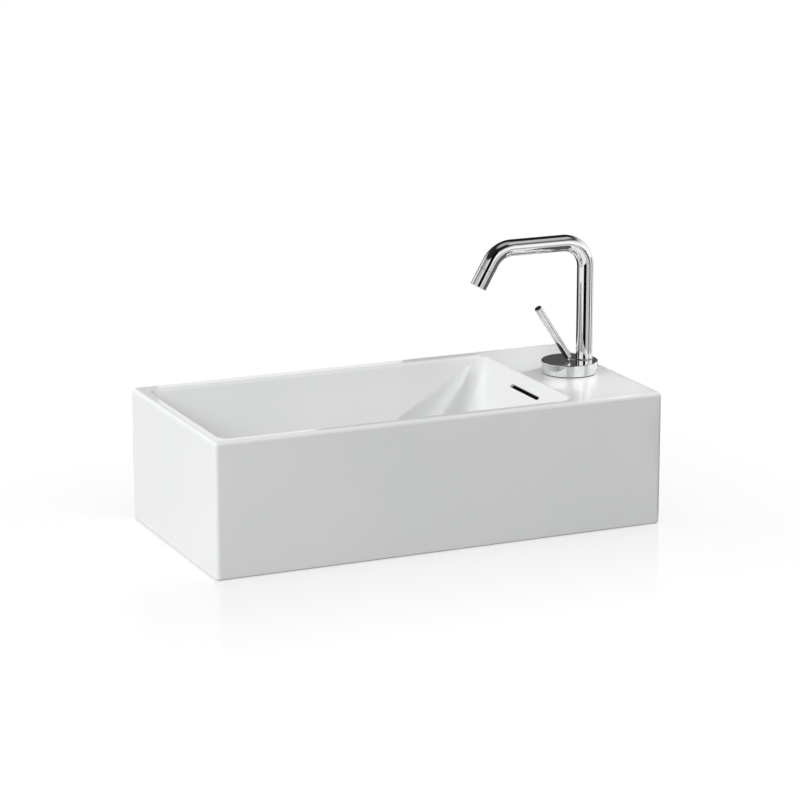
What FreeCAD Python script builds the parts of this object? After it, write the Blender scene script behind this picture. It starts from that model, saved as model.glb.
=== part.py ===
import FreeCAD, Part
import math
import os
from FreeCAD import Placement, Rotation, Vector

# Wall hung hand basin with a joystick mixer tap and a click waste. Millimetres.
#
# Working coordinates: X from the left face, Y from the front face, Z from the bottom face.
# Each piece is moved once, when it is saved, so that the origin lies half way between
# the two wall fixing holes, on the back face.

# ---------------------------------------------------------------- driving dimensions
# Ceramic body
basin_length = 510.0
basin_depth = 250.0
basin_height = 145.0
edge_round = 4.5          # top edges and front corners
back_round = 1.5          # edges that meet the wall, and the bottom edges
wall = 12.0               # thickness of the ceramic
wall_under_ramp = wall * 1.05   # straight down through the sloping ramp
hollow_corner = 8.0       # upright corners of the hollow underside

# Bowl opening at the rim
bowl_left = 12.0
bowl_right = 410.0
bowl_front = 12.0
bowl_back = 235.5
bowl_corner = 12.0
rim_round = 2.0

# Ramp: falls from the back rim to the front wall
ramp_back_height = 143.0
ramp_fall = 0.22          # mm down per mm forward
ramp_round = 6.0

# Fold: steep face that drops from the ramp into the well
fold_front_x = 118.0      # where the fold would meet the front wall
fold_foot_y = 146.0       # where the fold meets the right slope on the well's floor
fold_round = 2.5
fold_round_ends = (12.0, 48.0)   # left sharp at the back and at the front
narrow_end_length = 80.0  # the ramp's rounded front edge runs this far past the fold's end

# Well with the drain
well_floor = 54.0
well_thick = 14.0         # ceramic under the well's floor
well_round = 12.0
slope_angle = 45.0        # right slope, from the vertical
drain_x = 275.5
drain_y = 59.0
drain_hole_r = 23.0
dish_r = 33.5
dish_depth = 2.5
dish_draft = 0.9
boss_r = 38.0
boss_low = 33.0

# Overflow slot in the right slope and the channel behind it
slot_length = 68.0
slot_height = 4.5
slot_y = 105.0
slot_down = 17.0          # from the rim, along the slope
channel_depth = 6.0       # ceramic in front of the channel
channel_gap = 6.0
channel_over_slot = 4.0
channel_foot_down = 135.0
channel_foot_end = 8.0
channel_rib = 5.0         # ceramic round the channel
channel_foot_y = (45.0, 71.0)
channel_floor = 40.0

# Deck and wall fixings
tap_x = 464.0
tap_y = 124.0
tap_hole_r = 17.5
fixing_spacing = 280.0
fixing_height = 95.0
fixing_hole_r = 6.0

# Tap base
disc_x = 462.0
disc_r = 31.0
disc_edge = 0.7
stub_foot = 1.4
gasket_thick = 0.8
gasket_inset = 0.8
disc_top = 158.5
shank_r = 16.5
shank_low = 113.0
cartridge_bore_r = 12.5
cartridge_top = 149.0
ball_room_r = 9.0
ball_room_top = 155.5
lever_hole_r = 4.8
water_way_r = 1.4         # from the cartridge to the spout
water_way_x = 11.0
screw_r = 2.0
screw_down = 3.5          # below the stub's top

# Spout
riser_x = 479.7
tube_r = 9.0
tube_wall = 1.2
stub_top = 170.2
joint_gap = 0.6
spout_height = 289.2      # centre of the level run
spout_bend_r = 28.0
spout_corner_x = 373.5    # where the level run and the outlet run would cross
outlet_turn = 60.0        # degrees down from the level run
outlet_corner_to_joint = 25.6
outlet_corner_to_tip = 45.9
plug_bore_r = 6.6
plug_inner_r = 3.5
plug_spigot_r = 6.55
plug_groove_r = 4.75
plug_groove_half = 1.0
plug_insert_length = 14.0
plug_low = 151.0
screw_groove_r = 5.2
screw_groove_half = 1.5
o_ring_section = 1.8
o_ring_heights = (154.6, 159.6)

# Aerator, measured from the tube's end
aerator_bore_r = 6.6
aerator_mouth_r = 7.6
aerator_neck = 6.0
aerator_seat = 4.0
aerator_washer_thick = 1.5
aerator_washer_r = 5.4
aerator_edge = 0.4
aerator_gap = 0.3
core_r = 7.5
core_recess = 0.8
core_rim = 5.9
core_rim_depth = 0.6
core_jet_r = 0.7
core_middle_jet_r = 0.8
core_jets = ((2.4, 6), (4.5, 12))   # radius and number of each ring of outlets
core_jet_depth = 4.0

# Lever
pivot_height = 156.0
lever_lean = 33.0         # degrees from the vertical, towards the bowl
stick_r = 4.0
stick_start = 6.5
stick_end = 75.5
stick_edge = 0.35
end_seat_r = 3.3
end_seat_depth = 2.2
end_recess = 0.1
neck_depth = 9.5
ball_r = 4.5
neck_r = 2.2
tail_r = 1.8
tail_length = 15.0
seat_throat_r = 4.9
seat_mouth_r = 7.0
seat_low = 150.4
seat_throat = 153.6

# Cartridge, from the bottom up
plug_head_low = 104.5
plug_head_flats = 26.0
plug_face = 116.0
port_offset = 6.5
port_r = 2.4
hose_thread_r = 5.0
hose_thread_length = 8.0
port_seal_r = 4.1
port_seal_thick = 1.8
cartridge_r = 12.3
cartridge_room_r = 11.3
lower_disc_r = 10.9
upper_disc_r = 10.7
mixing_r = 6.0
mixing_depth = 2.5
outlet_half = 2.0
disc_seat = 126.0
disc_split = 130.5
driver_r = 10.8
driver_low = 138.6
driver_high = 148.5
driver_slot_low = 140.2
driver_slot_start = -1.6
driver_slot_half = 2.2
tongue_half_length = 4.0
tongue_half = 1.5
tongue_depth = 1.6
tongue_room = 0.2

# Deck fixing
deck_gasket_r = 26.0
deck_gasket_thick = 2.5
deck_washer_r = 25.0
deck_washer_thick = 1.5
deck_nut_flats = 41.0
deck_nut_thick = 8.0
deck_nut_face_r = 20.6
deck_nut_corner_r = 23.8
deck_nut_taper = 1.8

# Waste
flange_r = 32.0
flange_top = 54.3
flange_low = 52.3
waste_r = 20.95           # G 1 1/4 thread
waste_bore_r = 18.0
waste_low = 2.0
tail_thread_high = 14.0   # the trap's nut goes on below this
thread_depth = 0.8
thread_relief = 1.0
flange_edge = 0.8
flange_slope = 3.0
flange_lip_r = 24.0
flange_throat = 50.0
window_half = 6.0
bridge_r = 5.5
bridge_thick = 6.0
bridge_hole_r = 3.15
arm_half = 1.5
arm_start = 3.0
waste_seal_r = 30.5
waste_seal_foot_r = 27.0
waste_seal_thick = 6.0
waste_seal_foot = 3.0
waste_washer_r = 29.0
waste_washer_thick = 1.8
waste_nut_flats = 52.0
waste_nut_thick = 10.0
waste_nut_face_r = 26.0
waste_nut_corner_r = 30.5
waste_nut_taper = 2.5

# Plug and click unit
plug_r = 29.0
plug_gap = 1.0            # between the cap and the flange, plug shut
plug_thick = 3.2
plug_dome = (0.8, 0.6)    # height over the edge in the middle and half way out
plug_edge = 1.0
plug_under_edge = 0.6
plug_socket_r = 5.5
plug_socket_bore_r = 3.0
plug_socket_gap = 0.8
plug_seal_r = 27.0
plug_seal_inner_r = 24.2
plug_seal_low = 0.4
spindle_r = 2.98
collar_r = 5.0
collar_thick = 1.2
spindle_foot_r = 2.4
spindle_foot = 4.0
housing_r = 6.5
housing_room_r = 5.5
housing_top = 2.2
housing_stem_r = 3.1
housing_stem = 5.5
housing_bore_r = 3.06
housing_low = 24.0
housing_high = 48.0
collar_low = 36.0
housing_floor = 1.5
spring_r = 4.2
spring_wire_r = 0.4
spring_turns = 5
spring_gap = 0.05         # between the spring's ends and what they press on

deck_under = basin_height - wall
under_floor_high = well_floor - well_thick
channel_high = channel_floor + channel_gap
screw_height = stub_top - screw_down
deck_gasket_low = deck_under - deck_gasket_thick
deck_washer_low = deck_gasket_low - deck_washer_thick
waste_seal_low = boss_low - waste_seal_thick
waste_washer_low = waste_seal_low - waste_washer_thick
plug_under = flange_top + plug_gap
BIG = 1200.0              # block that stands for one side of a plane
PAST = 1.0                # how far a cutting shape runs past what it cuts
OVER = 20.0               # how far the bowl's cutting shapes reach over the rim
UP = Vector(0, 0, 1)
origin = Vector(basin_length / 2, basin_depth, fixing_height)


# ---------------------------------------------------------------- shared shapes
def beyond(point, normal):
    """A very large block on the side of a plane that its normal points to."""
    block = Part.makeBox(BIG, BIG, BIG, Vector(-BIG / 2, -BIG / 2, 0))
    block.Placement = Placement(point, Rotation(UP, normal))
    return block


def cylinder(x, y, radius, low, high):
    return Part.makeCylinder(radius, high - low, Vector(x, y, low))


def ring(x, y, outer, inner, low, high):
    return cylinder(x, y, outer, low, high).cut(cylinder(x, y, inner, low - PAST, high + PAST))


def box(low, high):
    size = Vector(*high) - Vector(*low)
    return Part.makeBox(size.x, size.y, size.z, Vector(*low))


def turned(x, y, outline):
    """Solid of revolution about the vertical through x, y. The outline is (radius, height) pairs."""
    points = [Vector(r, 0, z) for r, z in outline]
    face = Part.Face(Part.makePolygon(points + points[:1]))
    solid = face.revolve(Vector(0, 0, 0), UP, 360)
    solid.translate(Vector(x, y, 0))
    return solid


def rounded_block(low, high, corner):
    """Block whose upright edges are rounded."""
    block = box(low, high)
    upright = [e for e in block.Edges if abs(e.tangentAt(e.FirstParameter).z) > 0.99]
    return block.makeFillet(corner, upright)


def hexagon(x, y, across_flats, low, high):
    radius = across_flats / 2 / math.cos(math.radians(30))
    points = [Vector(x + radius * math.cos(math.radians(60 * k)),
                     y + radius * math.sin(math.radians(60 * k)), low) for k in range(7)]
    return Part.Face(Part.makePolygon(points)).extrude(Vector(0, 0, high - low))


def face_along(shape, normal, point):
    """The flat face of a shape that lies in the plane through a point."""
    for face in shape.Faces:
        flat = isinstance(face.Surface, Part.Plane)
        if flat and abs(normal.dot(face.CenterOfMass - point)) < 0.01 * normal.Length:
            return face
    raise ValueError("no face in that plane")


# ---------------------------------------------------------------- planes of the bowl
def ramp_height(y):
    return ramp_back_height - ramp_fall * (bowl_back - y)


def ramp_plane(lower=0.0):
    return Vector(0, bowl_back, ramp_back_height - lower), Vector(0, -ramp_fall, 1)


def slope_directions():
    """Unit vectors of the right slope: down along it, and into the ceramic."""
    angle = math.radians(slope_angle)
    down = Vector(-math.sin(angle), 0, -math.cos(angle))
    inward = Vector(math.cos(angle), 0, -math.sin(angle))
    return down, inward


def slope_point(down_by, y, depth=0.0):
    down, inward = slope_directions()
    return Vector(bowl_right, y, basin_height) + down * down_by + inward * depth


def fold_plane():
    """The fold holds the ramp's diagonal and leans back to its foot. Its normal points into the well."""
    back = Vector(bowl_right, bowl_back, ramp_height(bowl_back))
    front = Vector(fold_front_x, bowl_front, ramp_height(bowl_front))
    foot_x = bowl_right - (basin_height - well_floor) * math.tan(math.radians(slope_angle))
    foot = Vector(foot_x, fold_foot_y, well_floor)
    normal = (front - back).cross(foot - back)
    return back, normal.normalize()


# ---------------------------------------------------------------- spaces cut from the body
def ramp_space():
    """Space over the ramp: behind the fold, and across the narrow front end of the well."""
    point, normal = ramp_plane()
    above = rounded_block((bowl_left, bowl_front, 0), (basin_length, bowl_back, basin_height + OVER), bowl_corner)
    space = above.common(beyond(point, normal))
    floor = face_along(space, normal, point)
    space = space.makeFillet(ramp_round, floor.Edges)
    fold_point, fold_normal = fold_plane()
    behind = space.common(beyond(fold_point, fold_normal * -1))
    narrow_end = space.common(box((0, 0, 0), (fold_front_x + narrow_end_length, basin_depth, BIG)))
    return behind.fuse(narrow_end)


def well_space():
    """Three sided well between the fold, the front wall and the right slope."""
    space = box((0, bowl_front, well_floor), (basin_length, 2 * basin_depth, basin_height + OVER))
    fold_point, fold_normal = fold_plane()
    inward = slope_directions()[1]
    space = space.common(beyond(fold_point, fold_normal))
    space = space.common(beyond(slope_point(0, 0), inward * -1))
    sides = [e for e in space.Edges if e.BoundBox.ZMin < basin_height + OVER - 0.1]
    return space.makeFillet(well_round, sides)


def fold_rounding():
    """Sliver cut off the ramp's edge over the fold, which leaves that edge round."""
    back, fold_normal = fold_plane()
    front = Vector(fold_front_x, bowl_front, ramp_height(bowl_front))
    ramp_normal = ramp_plane()[1].normalize()
    both = fold_normal + ramp_normal
    axis = both * (-fold_round / (1 + fold_normal.dot(ramp_normal)))
    along = (front - back).normalize()
    start = back + along * fold_round_ends[0]
    length = (front - back).Length - sum(fold_round_ends)
    corners = [both * 0.5, axis + fold_normal * fold_round, axis, axis + ramp_normal * fold_round]
    points = [start + corner for corner in corners]
    wedge = Part.Face(Part.makePolygon(points + points[:1])).extrude(along * length)
    return wedge.cut(Part.makeCylinder(fold_round, length + 2 * PAST, start + axis - along * PAST, along))


def slope_slab(outline, near, far):
    """Plate parallel to the right slope. The outline is (distance down, y) pairs."""
    inward = slope_directions()[1]
    points = [slope_point(down_by, y, near) for down_by, y in outline]
    return Part.Face(Part.makePolygon(points + points[:1])).extrude(inward * (far - near))


def overflow_slot():
    half = slot_height / 2
    ends = (slot_y - slot_length / 2 + half, slot_y + slot_length / 2 - half)
    outline = [(slot_down - half, ends[0]), (slot_down - half, ends[1]),
               (slot_down + half, ends[1]), (slot_down + half, ends[0])]
    reach = channel_depth + channel_gap
    slot = slope_slab(outline, -PAST, reach)
    inward = slope_directions()[1]
    for y in ends:
        slot = slot.fuse(Part.makeCylinder(half, reach + PAST, slope_point(slot_down, y, -PAST), inward))
    return slot


def channel_outline(margin):
    top = slot_down - channel_over_slot - margin
    half = slot_length / 2 + margin
    return [(top, slot_y - half), (top, slot_y + half),
            (channel_foot_down + margin, channel_foot_y[1] + margin),
            (channel_foot_down + margin, channel_foot_y[0] - margin)]


def overflow_channel():
    """Flat channel that runs down behind the slope and under the floor to the drain hole."""
    behind = slope_slab(channel_outline(0), channel_depth, channel_depth + channel_gap)
    foot_x = slope_point(channel_foot_down, 0, channel_depth).x
    under = box((drain_x + drain_hole_r - channel_over_slot, channel_foot_y[0], channel_floor),
                (foot_x + channel_foot_end, channel_foot_y[1], channel_high))
    return behind.fuse(under)


def overflow_rib():
    """Thicker ceramic round the channel."""
    behind = slope_slab(channel_outline(channel_rib), 0, channel_depth + channel_gap + channel_rib)
    foot_x = slope_point(channel_foot_down, 0, channel_depth).x
    under = box((drain_x, channel_foot_y[0] - channel_gap, boss_low),
                (foot_x + wall, channel_foot_y[1] + channel_gap, well_floor))
    return behind.fuse(under)


def underside_space():
    """Open hollow under the bowl and the deck, which leaves a shell of even thickness."""
    whole = rounded_block((wall, wall, -PAST), (basin_length - wall, basin_depth - wall, basin_height), hollow_corner)
    fold_point, fold_normal = fold_plane()
    inward = slope_directions()[1]
    ramp_point, ramp_normal = ramp_plane(wall_under_ramp)
    under_floor = whole.common(box((0, 0, -OVER), (basin_length, basin_depth, under_floor_high)))
    under_ramp = whole.common(beyond(ramp_point, ramp_normal * -1))
    under_ramp = under_ramp.common(beyond(fold_point - fold_normal * wall, fold_normal * -1))
    under_deck = whole.common(beyond(slope_point(0, 0, wall), inward))
    under_deck = under_deck.common(box((0, 0, -OVER), (basin_length, basin_depth, deck_under)))
    space = under_floor.fuse([under_ramp, under_deck])
    boss = cylinder(drain_x, drain_y, boss_r, boss_low, well_floor)
    return space.cut(overflow_rib().fuse(boss))


def outer_block():
    """The plain body. The edges against the wall and at the bottom are sharper than the rest."""
    block = box((0, 0, 0), (basin_length, basin_depth, basin_height))
    soft = []
    for edge in block.Edges:
        bounds = edge.BoundBox
        at_back = bounds.YMin > basin_depth - 0.1
        at_bottom = bounds.ZMax < 0.1
        if not at_back and not at_bottom:
            soft.append(edge)
    block = block.makeFillet(edge_round, soft)
    hard = [e for e in block.Edges if e.BoundBox.YMin > basin_depth - 0.1 or e.BoundBox.ZMax < 0.1]
    return block.makeChamfer(back_round, hard)


def basin():
    body = outer_block().cut(underside_space())
    body = body.cut(ramp_space().fuse(well_space()))
    rim = [e for e in body.Edges if e.BoundBox.ZMin > basin_height - 0.01
           and e.BoundBox.XMin > edge_round + 1 and e.BoundBox.XMax < bowl_right + 1]
    body = body.makeFillet(rim_round, rim).cut(fold_rounding())
    dish_low = Vector(drain_x, drain_y, well_floor - dish_depth)
    dish = Part.makeCone(dish_r - dish_draft, dish_r, dish_depth, dish_low)
    holes = [dish, cylinder(drain_x, drain_y, drain_hole_r, 0, well_floor),
             overflow_slot(), overflow_channel(),
             cylinder(tap_x, tap_y, tap_hole_r, deck_under - PAST, basin_height + PAST)]
    for side in (-1, 1):
        x = basin_length / 2 + side * fixing_spacing / 2
        start = Vector(x, basin_depth - wall - PAST, fixing_height)
        holes.append(Part.makeCylinder(fixing_hole_r, wall + 2 * PAST, start, Vector(0, 1, 0)))
    return body.cut(holes).removeSplitter()


# ---------------------------------------------------------------- tap
def tap_base():
    """Disc, riser stub and threaded shank, with the cartridge bore from below."""
    disc = cylinder(disc_x, tap_y, disc_r, basin_height + gasket_thick, disc_top)
    disc = disc.makeFillet(disc_edge, [e for e in disc.Edges if e.BoundBox.ZMin > disc_top - 0.1])
    stub = cylinder(riser_x, tap_y, tube_r, disc_top - 2 * PAST, stub_top)
    base = disc.fuse(stub)
    foot = [e for e in base.Edges if abs(e.BoundBox.ZMax - disc_top) < 0.01 and e.BoundBox.XLength < 2.1 * tube_r
            and e.BoundBox.ZLength < 0.01]
    base = base.makeFillet(stub_foot, foot)
    base = base.fuse(cylinder(tap_x, tap_y, shank_r, shank_low, ball_room_top - 2 * PAST))
    base = base.cut(cylinder(tap_x, tap_y, cartridge_bore_r, shank_low - PAST, cartridge_top))
    base = base.cut(cylinder(tap_x, tap_y, ball_room_r, cartridge_top - PAST, ball_room_top))
    base = base.cut(cylinder(tap_x, tap_y, lever_hole_r, ball_room_top - PAST, disc_top + PAST))
    base = base.cut(cylinder(riser_x, tap_y, plug_bore_r, plug_low - PAST, stub_top + PAST))
    base = base.cut(cylinder(tap_x + water_way_x, tap_y, water_way_r, cartridge_top - PAST, plug_low))
    screw_hole = Part.makeCylinder(screw_r, tube_r, Vector(riser_x, tap_y, screw_height), Vector(0, 1, 0))
    return base.cut(screw_hole).removeSplitter()


def base_gasket():
    disc = cylinder(disc_x, tap_y, disc_r - gasket_inset, basin_height, basin_height + gasket_thick)
    return disc.cut(cylinder(tap_x, tap_y, shank_r + 0.5, basin_height - PAST, basin_height + 2 * PAST))


def swivel_washer():
    return ring(riser_x, tap_y, tube_r - 0.3, plug_bore_r + 0.2, stub_top, stub_top + joint_gap)


def outlet_direction():
    angle = math.radians(outlet_turn)
    return Vector(-math.cos(angle), 0, -math.sin(angle))


def spout_path():
    """Riser, bend, level run, bend and outlet run, along the middle of the tube."""
    down = outlet_direction()
    corner = Vector(spout_corner_x, tap_y, spout_height)
    tangent = spout_bend_r * math.tan(math.radians(outlet_turn / 2))
    riser_foot = Vector(riser_x, tap_y, stub_top + joint_gap)
    riser_head = Vector(riser_x, tap_y, spout_height - spout_bend_r)
    run_start = Vector(riser_x - spout_bend_r, tap_y, spout_height)
    run_end = corner + Vector(tangent, 0, 0)
    outlet_start = corner + down * tangent
    outlet_end = corner + down * outlet_corner_to_joint
    first_centre = Vector(riser_x - spout_bend_r, tap_y, spout_height - spout_bend_r)
    second_centre = run_end - Vector(0, 0, spout_bend_r)
    half = math.radians(90 - outlet_turn / 2)
    first_mid = first_centre + Vector(1, 0, 1).normalize() * spout_bend_r
    second_mid = second_centre + Vector(-math.cos(half), 0, math.sin(half)) * spout_bend_r
    edges = [Part.makeLine(riser_foot, riser_head), Part.Arc(riser_head, first_mid, run_start).toShape(),
             Part.makeLine(run_start, run_end), Part.Arc(run_end, second_mid, outlet_start).toShape(),
             Part.makeLine(outlet_start, outlet_end)]
    return Part.Wire(edges)


def swept(path, radius):
    start = path.Vertexes[0].Point
    section = Part.Wire(Part.makeCircle(radius, start, UP))
    return path.makePipeShell([section], True, False)


def spout_tube():
    path = spout_path()
    return swept(path, tube_r).cut(swept(path, tube_r - tube_wall))


def spout_plug():
    """Insert in the tube's foot. Its spigot turns in the stub and has two ring grooves and a screw groove."""
    grooves = [(height, plug_groove_half, plug_groove_r) for height in o_ring_heights]
    grooves.append((screw_height, screw_groove_half, screw_groove_r))
    shoulder = stub_top + joint_gap
    insert_r = tube_r - tube_wall
    outline = [(plug_inner_r, plug_low), (plug_spigot_r - 0.5, plug_low), (plug_spigot_r, plug_low + 0.5)]
    for height, half, floor_r in grooves:
        outline += [(plug_spigot_r, height - half), (floor_r, height - half),
                    (floor_r, height + half), (plug_spigot_r, height + half)]
    outline += [(plug_spigot_r, shoulder), (insert_r, shoulder),
                (insert_r, stub_top + plug_insert_length), (plug_inner_r, stub_top + plug_insert_length)]
    return turned(riser_x, tap_y, outline)


def spout_o_rings():
    """Two rings, squeezed flat between the groove's floor and the bore."""
    inner = plug_groove_r
    outer = plug_bore_r - 0.02
    half = o_ring_section / 2
    shoulder = o_ring_section / 4
    rings = []
    for centre in o_ring_heights:
        outline = [(inner, centre - shoulder), (inner + shoulder, centre - half), (outer - shoulder, centre - half),
                   (outer, centre - shoulder), (outer, centre + shoulder), (outer - shoulder, centre + half),
                   (inner + shoulder, centre + half), (inner, centre + shoulder)]
        rings.append(turned(riser_x, tap_y, outline))
    return Part.makeCompound(rings)


def spout_screw():
    """Grub screw in the stub. Its point stays in the plug's groove while the spout turns."""
    start = Vector(riser_x, tap_y + plug_bore_r + 0.2, screw_height)
    body = Part.makeCylinder(screw_r - 0.05, tube_r - plug_bore_r - 0.6, start, Vector(0, 1, 0))
    point = Part.makeCylinder(screw_r - 0.9, 1.2, start + Vector(0, -1, 0), Vector(0, 1, 0))
    return body.fuse(point).removeSplitter()


def at_outlet(solid):
    """Place a piece that is drawn from the tube's end, with its outlet along +Z."""
    down = outlet_direction()
    joint = Vector(spout_corner_x, tap_y, spout_height) + down * outlet_corner_to_joint
    solid.Placement = Placement(joint, Rotation(UP, down))
    return solid


def aerator_length():
    return outlet_corner_to_tip - outlet_corner_to_joint


def aerator_sleeve():
    end = aerator_length()
    neck = tube_r - tube_wall - 0.05
    outline = [(aerator_bore_r, -aerator_neck), (neck, -aerator_neck), (neck, aerator_gap), (tube_r, aerator_gap),
               (tube_r, end - aerator_edge), (tube_r - aerator_edge, end), (aerator_mouth_r, end),
               (aerator_mouth_r, aerator_seat), (aerator_bore_r, aerator_seat)]
    return at_outlet(turned(0, 0, outline))


def aerator_washer():
    return at_outlet(ring(0, 0, core_r, aerator_washer_r, aerator_seat, aerator_seat + aerator_washer_thick))


def aerator_core():
    """Jet insert with rings of small outlets in its face."""
    low = aerator_seat + aerator_washer_thick
    end = aerator_length() - core_recess
    core = turned(0, 0, [(0, low), (core_r, low), (core_r, end), (core_rim, end),
                         (core_rim, end - core_rim_depth), (0, end - core_rim_depth)])
    jets_low = end - core_jet_depth
    outlets = [cylinder(0, 0, core_middle_jet_r, jets_low, end + PAST)]
    for radius, number in core_jets:
        for k in range(number):
            angle = 2 * math.pi * k / number
            x, y = radius * math.cos(angle), radius * math.sin(angle)
            outlets.append(cylinder(x, y, core_jet_r, jets_low, end + PAST))
    return at_outlet(core.cut(outlets))


def at_lever(solid):
    """Place a piece that is drawn from the ball's centre, with the stick along +Z."""
    angle = math.radians(lever_lean)
    direction = Vector(-math.sin(angle), 0, math.cos(angle))
    solid.Placement = Placement(Vector(tap_x, tap_y, pivot_height), Rotation(UP, direction))
    return solid


def lever_stick():
    edge = stick_edge
    seat = stick_end - end_seat_depth
    neck_end = stick_start + neck_depth
    outline = [(neck_r, stick_start), (stick_r - edge, stick_start), (stick_r, stick_start + edge),
               (stick_r, stick_end - edge), (stick_r - edge, stick_end), (end_seat_r, stick_end),
               (end_seat_r, seat), (0, seat), (0, neck_end), (neck_r, neck_end)]
    return at_lever(turned(0, 0, outline))


def lever_end():
    return at_lever(cylinder(0, 0, end_seat_r - 0.05, stick_end - end_seat_depth, stick_end - end_recess))


def lever_ball():
    """Ball with its threaded neck above and its tail below."""
    ball = Part.makeSphere(ball_r)
    neck = cylinder(0, 0, neck_r - 0.02, 0, stick_start + neck_depth - 0.5)
    tail = cylinder(0, 0, tail_r, -tail_length, 0)
    return at_lever(ball.fuse([neck, tail]).removeSplitter())


def ball_seat():
    high = ball_room_top - 0.1
    outer = ball_room_r - 0.1
    outline = [(seat_throat_r, high), (outer, high), (outer, seat_low), (seat_mouth_r, seat_low),
               (seat_throat_r, seat_throat)]
    return turned(tap_x, tap_y, outline)


def lever_driver():
    """Turning driver. The tail slides in its slot and turns it, and its tongue turns the upper disc."""
    body = cylinder(tap_x, tap_y, driver_r, driver_low, driver_high)
    slot = box((tap_x + driver_slot_start, tap_y - driver_slot_half, driver_slot_low),
               (tap_x + driver_r + PAST, tap_y + driver_slot_half, driver_high + PAST))
    tongue = box((tap_x - tongue_half_length, tap_y - tongue_half, driver_low - tongue_depth),
                 (tap_x + tongue_half_length, tap_y + tongue_half, driver_low + PAST))
    return body.cut(slot).fuse(tongue).removeSplitter()


def cartridge_disc_upper():
    half_length = tongue_half_length + tongue_room
    half = tongue_half + tongue_room
    disc = cylinder(tap_x, tap_y, upper_disc_r, disc_split + 0.1, driver_low - 0.1)
    groove = box((tap_x - half_length, tap_y - half, driver_low - tongue_depth - tongue_room),
                 (tap_x + half_length, tap_y + half, driver_low + PAST))
    mixing = cylinder(tap_x, tap_y, mixing_r, disc_split, disc_split + mixing_depth)
    return disc.cut([groove, mixing])


def port_positions():
    return [(tap_x, tap_y - port_offset), (tap_x, tap_y + port_offset)]


def cartridge_disc_lower():
    disc = cylinder(tap_x, tap_y, lower_disc_r, disc_seat, disc_split)
    ports = [cylinder(x, y, port_r, disc_seat - PAST, disc_split + PAST) for x, y in port_positions()]
    outlet = box((tap_x + mixing_r - PAST, tap_y - outlet_half, disc_seat - PAST),
                 (tap_x + lower_disc_r + PAST, tap_y + outlet_half, disc_split + PAST))
    return disc.cut(ports + [outlet])


def cartridge_body():
    """Housing of the cartridge, with the seal seats below and the outlet notch at the side."""
    body = cylinder(tap_x, tap_y, cartridge_r, plug_face + 0.2, cartridge_top - 0.2)
    body = body.cut(cylinder(tap_x, tap_y, cartridge_room_r, disc_seat, cartridge_top + PAST))
    for x, y in port_positions():
        body = body.cut([cylinder(x, y, port_r, plug_face, disc_seat + PAST),
                         cylinder(x, y, port_seal_r + 0.1, plug_face, plug_face + port_seal_thick)])
    notch = box((tap_x + water_way_x - outlet_half, tap_y - outlet_half, disc_seat - 3),
                (tap_x + cartridge_bore_r + PAST, tap_y + outlet_half, cartridge_top + PAST))
    return body.cut(notch)


def cartridge_seals():
    seals = [ring(x, y, port_seal_r, port_r, plug_face, plug_face + port_seal_thick) for x, y in port_positions()]
    return Part.makeCompound(seals)


def shank_plug():
    """Screwed plug that holds the cartridge in. The two hoses screw into it from below."""
    low = plug_head_low
    body = cylinder(tap_x, tap_y, cartridge_bore_r - 0.05, shank_low - PAST, plug_face)
    body = body.fuse(hexagon(tap_x, tap_y, plug_head_flats, low, shank_low)).removeSplitter()
    for x, y in port_positions():
        body = body.cut([cylinder(x, y, hose_thread_r, low - PAST, low + hose_thread_length),
                         cylinder(x, y, port_r, low, plug_face + PAST)])
    return body


def deck_gasket():
    return ring(tap_x, tap_y, deck_gasket_r, shank_r + 0.6, deck_gasket_low, deck_under)


def deck_washer():
    return ring(tap_x, tap_y, deck_washer_r, shank_r + 0.3, deck_washer_low, deck_gasket_low)


def deck_nut():
    high = deck_washer_low
    low = high - deck_nut_thick
    nut = hexagon(tap_x, tap_y, deck_nut_flats, low, high)
    taper = turned(tap_x, tap_y, [(0, low), (deck_nut_face_r, low), (deck_nut_corner_r, low + deck_nut_taper),
                                  (deck_nut_corner_r, high), (0, high)])
    return nut.common(taper).cut(cylinder(tap_x, tap_y, shank_r + 0.05, low - PAST, high + PAST))


# ---------------------------------------------------------------- waste
def waste_body():
    """Flange and threaded tube, with overflow windows and a bridge that carries the click unit."""
    root_r = waste_r - thread_depth
    relief_high = tail_thread_high + thread_relief
    outline = [(waste_bore_r, waste_low), (root_r, waste_low), (waste_r, waste_low + thread_depth),
               (waste_r, tail_thread_high), (root_r, tail_thread_high), (root_r, relief_high),
               (waste_r, relief_high), (waste_r, flange_low), (flange_r, flange_low),
               (flange_r, flange_low + flange_edge), (flange_r - flange_slope, flange_top),
               (flange_lip_r, flange_top), (waste_bore_r, flange_throat)]
    body = turned(drain_x, drain_y, outline)
    windows = box((drain_x - flange_r, drain_y - window_half, channel_floor),
                  (drain_x + flange_r, drain_y + window_half, channel_high))
    body = body.cut(windows)
    bridge_low = housing_low - bridge_thick
    arms = cylinder(drain_x, drain_y, bridge_r, bridge_low, housing_low)
    for k in range(3):
        arm = box((arm_start, -arm_half, bridge_low), (waste_bore_r + PAST, arm_half, housing_low))
        arm.rotate(Vector(0, 0, 0), UP, 90 + 120 * k)
        arm.translate(Vector(drain_x, drain_y, 0))
        arms = arms.fuse(arm)
    arms = arms.cut(cylinder(drain_x, drain_y, bridge_hole_r, bridge_low - PAST, housing_low + PAST))
    return body.fuse(arms).removeSplitter()


def waste_gasket():
    return ring(drain_x, drain_y, flange_r - 0.5, waste_r + 0.2, well_floor - dish_depth, flange_low)


def waste_seal():
    inner = waste_r + 0.15
    outline = [(inner, waste_seal_low), (waste_seal_foot_r, waste_seal_low),
               (waste_seal_r, waste_seal_low + waste_seal_foot), (waste_seal_r, boss_low), (inner, boss_low)]
    return turned(drain_x, drain_y, outline)


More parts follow.
